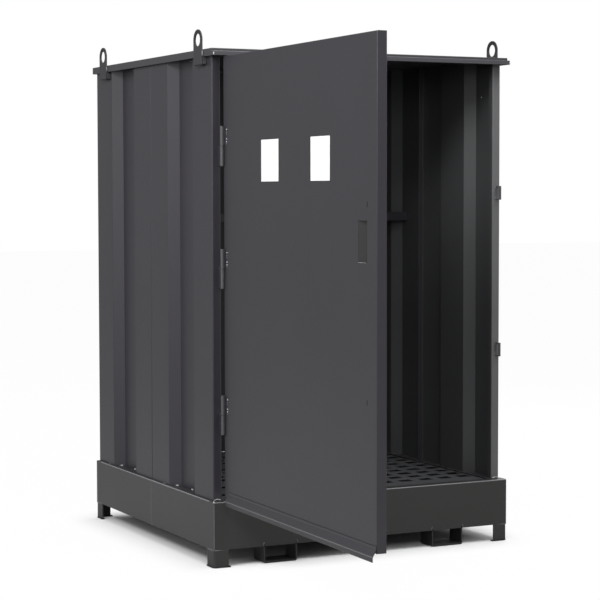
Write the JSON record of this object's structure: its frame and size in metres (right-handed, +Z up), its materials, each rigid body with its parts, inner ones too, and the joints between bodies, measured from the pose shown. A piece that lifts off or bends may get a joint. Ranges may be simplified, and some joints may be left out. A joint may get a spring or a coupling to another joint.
{
  "type": "drum storage cabinet",
  "caption": "Tall sheet-steel cabinet on a sump base with a lift-out grate, one hinged door with deadlocks, lifting eyes and fork pockets.",
  "frame": {"origin": "centre of the front left foot's sole, on the floor", "axes": "+X along the front to the right, +Y from the front to the back, +Z up; the door stands open along -Y"},
  "size_m": [1.4106, 2.7294, 2.1885],
  "materials": {
    "body_paint": "anthracite powder coat, satin",
    "door_paint": "anthracite powder coat, satin",
    "base_paint": "anthracite powder coat, satin",
    "grate_paint": "anthracite powder coat, satin",
    "hardware_paint": "anthracite powder coat over welded hardware",
    "bolt_steel": "bright zinc",
    "placard_white": "matt white"
  },
  "bodies": {
    "cabinet": {"base_front": "base_paint", "base_back": "base_paint", "base_left_front": "body_paint", "base_left_rear": "body_paint", "base_right_front": "body_paint", "base_right_rear": "body_paint", "sump_floor": "base_paint", "foot_front_left": "base_paint", "foot_front_right": "base_paint", "foot_rear_left": "base_paint", "foot_rear_right": "base_paint", "fork_pocket_front_left": "hardware_paint", "fork_pocket_front_right": "hardware_paint", "fork_pocket_rear_left": "hardware_paint", "fork_pocket_rear_right": "hardware_paint", "grate_bearer_1": "base_paint", "grate_bearer_2": "base_paint", "grate_bearer_3": "base_paint", "grate_bearer_4": "base_paint", "grate_bearer_5": "base_paint", "wall_left_front": "body_paint", "wall_left_rear": "body_paint", "wall_right_front": "body_paint", "wall_right_rear": "body_paint", "wall_back_left": "body_paint", "wall_back_right": "body_paint", "roof": "body_paint", "roof_bearer_front": "body_paint", "roof_bearer_rear": "body_paint", "lifting_eye_front_left": "hardware_paint", "lifting_eye_front_right": "hardware_paint", "lifting_eye_rear_left": "hardware_paint", "lifting_eye_rear_right": "hardware_paint", "cross_rail": "body_paint", "lock_keeper_lower": "hardware_paint", "lock_keeper_upper": "hardware_paint", "hinge_frame_bottom": "hardware_paint", "hinge_frame_middle": "hardware_paint", "hinge_frame_top": "hardware_paint"},
    "door": {"door_skin": "door_paint", "door_stiffener_1": "door_paint", "door_stiffener_2": "door_paint", "door_skirt": "door_paint", "door_grip": "door_paint", "lock_case_lower": "hardware_paint", "lock_case_upper": "hardware_paint", "hinge_door_bottom": "hardware_paint", "hinge_door_middle": "hardware_paint", "hinge_door_top": "hardware_paint", "placard_1": "placard_white", "placard_2": "placard_white"},
    "bolt_lower": {"lock_bolt_lower": "bolt_steel"},
    "bolt_upper": {"lock_bolt_upper": "bolt_steel"},
    "front_grate": {"grate_front": "grate_paint"},
    "rear_grate": {"grate_rear": "grate_paint"}
  },
  "joints": [
    {"name": "door_hinge", "type": "hinge", "parent": "cabinet", "child": "door", "pos_m": [0.0058, -0.042, 0], "axis": [0, 0, 1], "range_deg": [-86.7, 91.3]},
    {"name": "lower_bolt_slide", "type": "slide", "parent": "door", "child": "bolt_lower", "axis": [-0.0227, -0.9997, 0], "range_m": [0, 0.019]},
    {"name": "upper_bolt_slide", "type": "slide", "parent": "door", "child": "bolt_upper", "axis": [-0.0227, -0.9997, 0], "range_m": [0, 0.019]},
    {"name": "front_grate_lift", "type": "slide", "parent": "cabinet", "child": "front_grate", "axis": [0, 0, 1], "range_m": [0, 0.25]},
    {"name": "rear_grate_lift", "type": "slide", "parent": "cabinet", "child": "rear_grate", "axis": [0, 0, 1], "range_m": [0, 0.25]}
  ]
}
